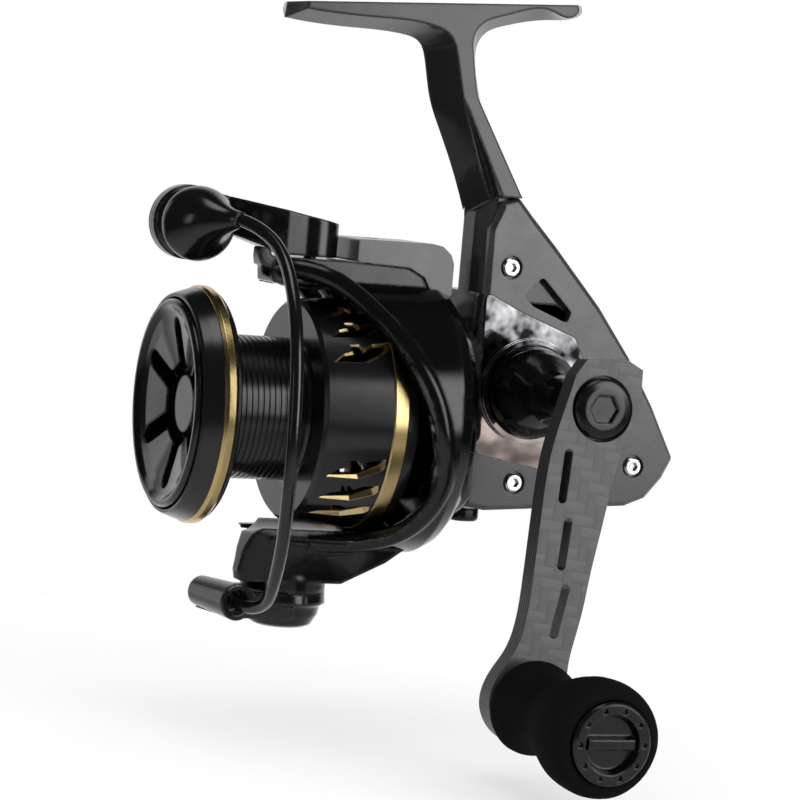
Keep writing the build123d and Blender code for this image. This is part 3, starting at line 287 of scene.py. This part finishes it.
def turned_metal(name, colour, axis, origin, rough=0.16):
    """Lathe-turned metal: fine rings about an axis, streaks, bright worn edges."""
    s = Shader(name)
    normal, near_edge = s.soft_edges(0.15 * MM)
    run = s.maths("ADD", s.along(axis), s.radius(axis, origin))
    rings = s.waves(run, TURNING_PITCH)
    line = s.add("CombineXYZ")
    s.put(line.inputs["X"], s.maths("MULTIPLY", run, 9000.0))
    streak = s.noise(1.0, 3, 0.6, line.outputs["Vector"])
    darker = tuple(c * 0.7 for c in colour)
    tone = s.mix(s.remap(streak, 0.35, 0.65), darker, colour)
    tone = s.mix(s.remap(s.noise(120, 3), 0.55, 0.9, 0.0, 0.35), tone, darker)
    bright = tuple(min(1.0, c * 1.15) for c in colour)
    s.set(Base_Color=s.mix(near_edge, tone, bright), Metallic=1.0)
    s.set(Roughness=s.remap(streak, 0.3, 0.7, rough, rough + 0.12))
    s.set(Normal=s.bump(rings, TURNING_DEPTH, normal))
    return s.material


def polished_trim(name):
    """Mirror-polished plating with reflections painted into its colour: dark and pale streaks
    above, warmer and duller towards its lower end.
    """
    s = Shader(name)
    normal, near_edge = s.soft_edges(0.25 * MM)
    low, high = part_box("trim_plate")
    height = s.remap(s.along(Z), low.z, high.z)
    # The haze streaks vary the roughness and also paint reflection streaks into the colour.
    haze_and_painted_streaks = s.remap(s.noise(110, 3, 0.55), 0.42, 0.56)
    # Painted reflections: a warm, duller tone for the lower end and near-black to pale streaks
    # higher up, blended by height.
    lower_painted_reflection = s.mix(haze_and_painted_streaks, (0.115, 0.092, 0.083), (0.17, 0.142, 0.13))
    upper_painted_reflection = s.mix(haze_and_painted_streaks, (0.006, 0.006, 0.008), (0.26, 0.26, 0.27))
    fade = s.remap(s.maths("ADD", height, s.maths("MULTIPLY", haze_and_painted_streaks, 0.16)), 0.42, 0.66)
    tone = s.mix(fade, lower_painted_reflection, upper_painted_reflection)
    scuffs = s.remap(s.noise(1.0, 5, 0.7, s.vector("MULTIPLY", s.place, (300, 2600, 900))),
                     0.60, 0.70)
    tone = s.mix(s.maths("MULTIPLY", scuffs, 0.2), tone, grey(0.35))
    s.set(Base_Color=s.mix(near_edge, tone, grey(0.95)), Metallic=1.0)
    s.set(Roughness=s.maths("ADD", s.remap(haze_and_painted_streaks, 0.0, 1.0, 0.07, 0.03),
                            s.maths("MULTIPLY", scuffs, 0.10)))
    s.set(Normal=s.bump(s.noise(70, 2), TRIM_WAVE_DEPTH, normal))
    return s.material


def carbon_weave(name):
    """Grey twill laminate: woven tows on the faces, stacked plies on the sides."""
    s = Shader(name)
    normal, near_edge = s.soft_edges(0.3 * MM)
    cos_lean, sin_lean = math.cos(WEAVE_LEAN), math.sin(WEAVE_LEAN)
    across = s.maths("DIVIDE", s.along((0, cos_lean, -sin_lean)), TOW_WIDTH)
    up = s.maths("DIVIDE", s.along((0, sin_lean, cos_lean)), TOW_WIDTH)
    column = s.maths("FLOOR", across)
    row = s.maths("FLOOR", up)
    step = s.maths("FLOORED_MODULO", s.maths("ADD", column, row), 4.0)
    over = s.maths("LESS_THAN", step, 1.5)  # two over, two under
    crowns = []
    for place in (across, up):
        off_centre = s.maths("SUBTRACT", s.maths("FRACT", place), 0.5)
        drop = s.maths("POWER", s.maths("ABSOLUTE", off_centre), 2.0)
        crowns.append(s.maths("SUBTRACT", 1.0, drop))
    crown = s.choose(over, crowns[1], crowns[0])
    warp, weft = (s.noise(1.0, 3, 0.7, s.vector("MULTIPLY", s.place, stretch))
                  for stretch in (WARP_FIBRES, WEFT_FIBRES))
    fibre = s.choose(over, weft, warp)
    tone = s.mix(over, WEFT_TONE, WARP_TONE)
    tone = s.mix(s.remap(fibre, 0.25, 0.8, 0.0, 0.55), tone, grey(0.020))
    gap = s.remap(crown, 0.76, 0.83, 1.0, 0.0)
    tone = s.mix(s.maths("MULTIPLY", gap, 0.6), tone, grey(0.022))
    facing = s.maths("ABSOLUTE", s.vector("DOT_PRODUCT", s.geometry.outputs["Normal"], X))
    on_side = s.remap(facing, 0.75, 0.55)
    ply = s.waves(s.along(X), PLY_PITCH)
    ply_tone = s.mix(s.remap(ply, -0.9, -0.3), grey(0.006), grey(0.040, 0.05))
    tone = s.mix(on_side, tone, ply_tone)
    s.set(Base_Color=s.mix(s.maths("MULTIPLY", near_edge, 0.3), tone, grey(0.16)))
    s.set(Metallic=0.15, Roughness=s.remap(fibre, 0.2, 0.8, 0.34, 0.5))
    s.set(Coat_Weight=0.35, Coat_Roughness=0.25)
    flat = s.maths("SUBTRACT", 1.0, on_side)
    height = s.maths("MULTIPLY", crown, flat)
    plies = s.maths("MULTIPLY", s.maths("MULTIPLY", ply, 0.15), on_side)
    s.set(Normal=s.bump(s.maths("ADD", height, plies), WEAVE_DEPTH, normal))
    return s.material


def foam(name):
    """Matt black closed-cell foam: fine cells, pinholes darkened with painted shade, a soft
    dusty bloom.
    """
    s = Shader(name)
    cells = s.cells(3800)
    pinholes_with_painted_shade = s.remap(s.cells(1500), 0.0, 0.16, 1.0, 0.0)
    pinholes_with_painted_shade = s.maths("MULTIPLY", pinholes_with_painted_shade, s.remap(s.noise(300, 2), 0.5, 0.62))
    tone = s.mix(s.noise(110, 5, 0.65), grey(0.0025), grey(0.006))
    tone = s.mix(s.remap(cells, 0.15, 0.6), tone, grey(0.004))
    specks = s.remap(s.noise(5200, 1), 0.72, 0.78)
    tone = s.mix(s.maths("MULTIPLY", specks, 0.3), tone, grey(0.06))
    # Painted shade: the pinholes are darker in the colour as well as sunk by the bump.
    s.set(Base_Color=s.mix(pinholes_with_painted_shade, tone, grey(0.002)), Roughness=0.92)
    s.set(Specular_IOR_Level=0.07)
    height = s.maths("SUBTRACT", cells, s.maths("MULTIPLY", pinholes_with_painted_shade, 1.2))
    s.set(Normal=s.bump(height, FOAM_CELL_DEPTH))
    return s.material


def felt(name):
    """Oiled drag felt."""
    s = Shader(name)
    fibres = s.noise(4200, 5, 0.8)
    s.set(Base_Color=s.mix(fibres, grey(0.03), (0.14, 0.13, 0.11)), Roughness=0.95)
    s.set(Normal=s.bump(fibres, FELT_DEPTH))
    return s.material


def spool_black(name):
    """Black anodised spool with gold where the skirt ports are cut through."""
    s = Shader(name)
    normal = s.soft_edges(0.2 * MM)[0]
    radius = s.radius(Y, SHAFT_AXIS)
    rings = s.waves(s.maths("ADD", s.along(Y), radius), SPOOL_TURNING_PITCH)
    tone = s.mix(s.noise(90, 4), grey(0.003), grey(0.006, 0.2))
    skirt_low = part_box("skirt_ring")[0].y
    lip_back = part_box("lip_ring")[1].y
    place = s.along(Y)
    in_band = s.maths("LESS_THAN", place, skirt_low - PORT_RING_GAP)
    behind = s.maths("GREATER_THAN", place, lip_back + PORT_START)
    far_out = s.maths("GREATER_THAN", radius, PORT_RADIUS)
    offset = s.vector("SUBTRACT", s.place, tuple(SHAFT_AXIS))
    flat = s.vector("MULTIPLY", offset, (1, 0, 1))
    out = s.vector("NORMALIZE", flat)
    facing = s.vector("DOT_PRODUCT", s.geometry.outputs["True Normal"], out)
    cut = s.maths("LESS_THAN", facing, 0.93)
    port = s.maths("MULTIPLY", s.maths("MULTIPLY", in_band, behind), far_out)
    port = s.maths("MULTIPLY", port, cut)
    s.set(Base_Color=s.mix(port, tone, PORT_GOLD), Metallic=port)
    rough = s.remap(s.noise(200, 4), 0.3, 0.8, 0.17, 0.27)
    s.set(Roughness=rough, Coat_Weight=0.3, Coat_Roughness=0.08)
    s.set(Normal=s.bump(rings, SPOOL_TURNING_DEPTH, normal))
    return s.material


MATERIALS = {made.name: made for made in (
    gloss_black("frame_black", 0.008, 0.13, 0.8 * MM, coat=0.2),
    satin_black("plate_black", 0.014, 0.26, coat=0.6),
    gloss_black("rotor_black", 0.002, 0.07, 1.1 * MM, coat=0.05),
    satin_black("cover_grey", 0.032, 0.3),
    gloss_black("deep_black", 0.002, 0.07, 0.6 * MM, coat=0.3, ripple=0.2),
    gloss_black("bail_black", 0.003, 0.13, 0.9 * MM, coat=0.3),
    gloss_black("head_black", 0.003, 0.13, 0.9 * MM, coat=0.3,
                grooves=(ROLLER_AXIS, 7.5 * MM, 1.5 * MM)),
    gloss_black("wire_black", 0.003, 0.12, 0.1 * MM, coat=0.3),
    spool_black("spool_black"),
    turned_metal("gold", GOLD, Y, SHAFT_AXIS),
    polished_trim("chrome"),
    turned_metal("screw_steel", BRIGHT_STEEL, X, CRANK_AXIS, 0.14),
    turned_metal("shaft_steel", STEEL, Y, SHAFT_AXIS, 0.12),
    turned_metal("axle_steel", STEEL, X, CRANK_AXIS, 0.14),
    turned_metal("brass", BRASS, Y, SHAFT_AXIS, 0.2),
    satin_black("cast_metal", 0.32, 0.38, metallic=0.9),
    carbon_weave("carbon"),
    foam("foam"),
    gloss_black("cap_black", 0.002, 0.12, 0.6 * MM, coat=0.0),
    felt("felt"),
)}

NODE_MATERIAL = {
    "frame_black": ("body_frame", "far_cap"),
    "plate_black": ("side_plate",),
    "rotor_black": ("rotor", "reverse_lever"),
    "cover_grey": ("arm_cover",),
    "deep_black": ("drag_knob", "dust_bell"),
    "bail_black": ("bail_cone", "bail_holder", "bail_pivot_screws", "roller_screw"),
    "head_black": ("bail_arm", "line_roller"),
    "wire_black": ("bail_wire",),
    "spool_black": ("spool",),
    "gold": ("lip_ring", "skirt_ring"),
    "chrome": ("trim_plate",),
    "screw_steel": ("side_plate_screws", "arm_cover_screw", "hub_bolt"),
    "shaft_steel": ("main_shaft", "pinion_bearing", "clutch_housing", "clutch_rollers",
                    "clutch_sleeve", "guide_rod", "steel_drag_discs", "drag_retainer",
                    "bail_spring"),
    "axle_steel": ("crank_bearings", "osc_axle", "handle_shank", "knob_spindle",
                   "knob_bearings", "roller_bearing"),
    "brass": ("pinion_gear", "pinion_bushing", "rotor_nut", "spool_seat", "drag_nut"),
    "cast_metal": ("drive_gear", "osc_drive_gear", "osc_gear", "crosswind_block"),
    "carbon": ("handle_arm",),
    "cap_black": ("hub_cap", "knob_cap", "knob_core"),
    "felt": ("felt_drag_discs",),
    "foam": ("knob_grip",),
}


def dress_nodes():
    """Give every CAD node its material."""
    for material, nodes in NODE_MATERIAL.items():
        for node in nodes:
            mesh = frame["nodes"][node].data
            mesh.materials.clear()
            mesh.materials.append(MATERIALS[material])


dress_nodes()


# ------------------------------------------------------------------- foam knob
FOAM_SEGMENTS = 144
FOAM_STEPS = 26  # rings between two points of the profile
FOAM_CUP_RADIUS = 7.6 * MM  # the end cap sits in this cup
FOAM_CUP_DEPTH = 3.5 * MM
FOAM_BORE_RADIUS = 4.05 * MM
FOAM_SETBACK = 0.1 * MM
FOAM_BUMPS = ((260, 0.10 * MM), (1500, 0.035 * MM))  # frequency and height
# Share of the grip's length from the arm outward, and the radius there in millimetres.
FOAM_PROFILE = [
    (0.000, 7.3), (0.012, 8.2), (0.050, 8.75), (0.120, 8.45), (0.210, 7.65),
    (0.310, 7.25), (0.430, 7.60), (0.570, 8.85), (0.710, 10.15), (0.830, 10.60),
    (0.920, 10.35), (0.975, 9.50), (0.998, 8.40),
]


def smooth_profile(points, steps):
    """Points along a curve through a profile, Catmull-Rom between its points."""
    ends = [points[0]] + points + [points[-1]]
    curve = []
    for i in range(1, len(ends) - 2):
        a, b, c, d = (Vector((*p, 0)) for p in ends[i - 1:i + 3])
        for k in range(steps):
            t = k / steps
            curve.append(0.5 * (2 * b + (c - a) * t + (2 * a - 5 * b + 4 * c - d) * t ** 2
                                + (3 * b - a - 3 * c + d) * t ** 3))
    curve.append(Vector((*points[-1], 0)))
    return [(p.x, p.y) for p in curve]


def make_foam_knob():
    """Turned foam sleeve: crowned skin, rolled ends, a bore, and slight unevenness."""
    low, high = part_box("knob_grip")
    length = high.x - low.x
    skin = [(low.x + t * length, r * MM)
            for t, r in smooth_profile(FOAM_PROFILE, FOAM_STEPS)]
    floor_of_cup = high.x - FOAM_CUP_DEPTH
    bore = [(high.x - FOAM_SETBACK, FOAM_CUP_RADIUS), (floor_of_cup, FOAM_CUP_RADIUS),
            (floor_of_cup, FOAM_BORE_RADIUS), (low.x + FOAM_SETBACK, FOAM_BORE_RADIUS)]
    outline = skin + bore
    form = bmesh.new()
    rings = []
    for index, (place, radius) in enumerate(outline):
        loop = []
        for k in range(FOAM_SEGMENTS):
            angle = 2 * math.pi * k / FOAM_SEGMENTS
            out = Vector((0, math.cos(angle), math.sin(angle)))
            spot = Vector((place, KNOB_AXIS.y, KNOB_AXIS.z)) + out * radius
            if index < len(skin):
                spot += out * sum(noise.noise(spot * f) * h for f, h in FOAM_BUMPS)
            loop.append(form.verts.new(spot))
        rings.append(loop)
    for one, two in zip(rings, rings[1:] + rings[:1]):
        for k in range(FOAM_SEGMENTS):
            j = (k + 1) % FOAM_SEGMENTS
            form.faces.new((one[k], two[k], two[j], one[j]))
    bmesh.ops.recalc_face_normals(form, faces=form.faces)
    mesh = bpy.data.meshes.new("knob_foam")
    form.to_mesh(mesh)
    form.free()
    for face in mesh.polygons:
        face.use_smooth = True
    mesh.materials.append(MATERIALS["foam"])
    knob = bpy.data.objects.new("knob_foam", mesh)
    bpy.context.scene.collection.objects.link(knob)
    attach(knob, "knob")
    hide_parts("knob_grip")


make_foam_knob()


# ---------------------------------------------------------------------- studio
CENTRE = (CAD_BOX[0] + CAD_BOX[1]) / 2
FADE_FROM = 0.28  # a softbox is even to here, out of 0.5 at its rim
RIM_GLOW = 0.12
GLOSS_TURN = (-0.55, -0.80)  # cosine to the camera where gloss starts and ends to see white
GLOSS_WORLD = (0.03, 0.95)
FLOOR_DROP = 4 * MM
FLOOR_RADIUS = 0.9
FLOOR_FADE = (0.10, 0.30)  # distances between which the floor thins out
FLOOR_CLEAR = (0.5, 1.0)
# Name, direction from the reel, distance, width, height, radiance.
SOFTBOXES = [
    ("key_right", (0.83, 0.56, 0.26), 0.9, 0.66, 0.86, 3.6),
    ("front_left", (-0.75, -0.60, 0.10), 0.8, 0.26, 0.80, 0.9),
    ("front_low", (0.30, -0.95, 0.05), 0.9, 0.12, 0.50, 1.6),
    ("top", (0.15, -0.10, 1.0), 0.8, 0.50, 0.50, 2.4),
]


def view_axes():
    """Right, up and back directions of the camera."""
    a, e, r = (math.radians(v) for v in (CAMERA_AZIMUTH, CAMERA_ELEVATION, CAMERA_ROLL))
    back = Vector((math.sin(a) * math.cos(e), -math.cos(a) * math.cos(e), math.sin(e)))
    level = Vector((math.cos(a), math.sin(a), 0))
    upright = back.cross(level)
    right = level * math.cos(r) + upright * math.sin(r)
    return right, back.cross(right), back


def make_camera():
    data = bpy.data.cameras.new("camera")
    data.lens, data.sensor_width = LENS, SENSOR
    data.clip_start, data.clip_end = 0.01, 20.0
    camera = bpy.data.objects.new("camera", data)
    bpy.context.scene.collection.objects.link(camera)
    right, up, back = view_axes()
    camera.rotation_mode = "QUATERNION"
    turn = Matrix((right, up, back)).transposed()
    camera.rotation_quaternion = turn.to_quaternion()
    camera.location = CAMERA_PLACE
    bpy.context.scene.camera = camera


def soften(data):
    """Let a softbox fade towards its rim."""
    t = NodeTree(data)
    place = t.add("NewGeometry").outputs["Parametric"]
    offset = t.vector("ABSOLUTE", t.vector("SUBTRACT", place, (0.5, 0.5, 0.0)))
    split = t.add("SeparateXYZ")
    t.put(split.inputs[0], offset)
    fades = [t.remap(split.outputs[i], 0.5, FADE_FROM, RIM_GLOW, 1.0, "SMOOTHSTEP")
             for i in (0, 1)]
    glow = t.add("Emission")
    t.put(glow.inputs["Strength"], t.maths("MULTIPLY", *fades))
    t.link(glow.outputs[0], t.add("OutputLight").inputs[0])


def softbox(name, direction, distance, width, height, radiance):
    """Rectangular studio light aimed at the reel; radiance is how bright it looks."""
    data = bpy.data.lights.new(name, "AREA")
    data.shape = "RECTANGLE"
    data.size, data.size_y = width, height
    data.energy = radiance * math.pi * width * height
    soften(data)
    lamp = bpy.data.objects.new(name, data)
    bpy.context.scene.collection.objects.link(lamp)
    aim = Vector(direction).normalized()
    lamp.location = CENTRE + aim * distance
    lamp.rotation_mode = "QUATERNION"
    lamp.rotation_quaternion = aim.to_track_quat("Z", "Y")
    lamp.visible_camera = False


def make_world():
    """White to the eye and to matt faces; gloss sees dark towards the camera."""
    world = bpy.data.worlds.new("studio")
    bpy.context.scene.world = world
    t = NodeTree(world)
    seen = t.add("Background")
    seen.inputs["Color"].default_value = (1, 1, 1, 1)
    seen.inputs["Strength"].default_value = 1.0
    mirrored = t.add("Background")
    place = t.add("TexCoord").outputs["Generated"]
    towards = t.vector("DOT_PRODUCT", place, view_axes()[2])
    t.put(mirrored.inputs["Strength"], t.remap(towards, *GLOSS_TURN, *GLOSS_WORLD))
    path = t.add("LightPath").outputs
    mix = t.add("MixShader")
    t.put(mix.inputs["Fac"], t.maths("MAXIMUM", path["Is Camera Ray"], path["Is Diffuse Ray"]))
    t.link(mirrored.outputs["Background"], mix.inputs[1])
    t.link(seen.outputs["Background"], mix.inputs[2])
    t.link(mix.outputs["Shader"], t.add("OutputWorld").inputs["Surface"])


def make_floor():
    """Pale round floor that fades into the white surround."""
    mesh = bpy.data.meshes.new("floor")
    form = bmesh.new()
    bmesh.ops.create_circle(form, cap_ends=True, segments=96, radius=FLOOR_RADIUS)
    form.to_mesh(mesh)
    form.free()
    floor = bpy.data.objects.new("floor", mesh)
    floor.location = (CENTRE.x, CENTRE.y, CAD_BOX[0].z - FLOOR_DROP)
    bpy.context.scene.collection.objects.link(floor)
    s = Shader("floor_white")
    grain = s.noise(35, 4)
    s.set(Base_Color=s.mix(grain, grey(0.90), grey(0.94)), Roughness=0.85)
    clear = s.add("BsdfTransparent")
    blend = s.add("MixShader")
    distance = s.vector("LENGTH", s.place)
    s.put(blend.inputs["Fac"], s.remap(distance, *FLOOR_FADE, *FLOOR_CLEAR))
    s.link(s.bsdf.outputs["BSDF"], blend.inputs[1])
    s.link(clear.outputs["BSDF"], blend.inputs[2])
    s.link(blend.outputs["Shader"], s.out.inputs["Surface"])
    mesh.materials.append(s.material)


make_camera()
make_world()
make_floor()
for settings in SOFTBOXES:
    softbox(*settings)
bpy.context.scene.view_settings.view_transform = "Standard"
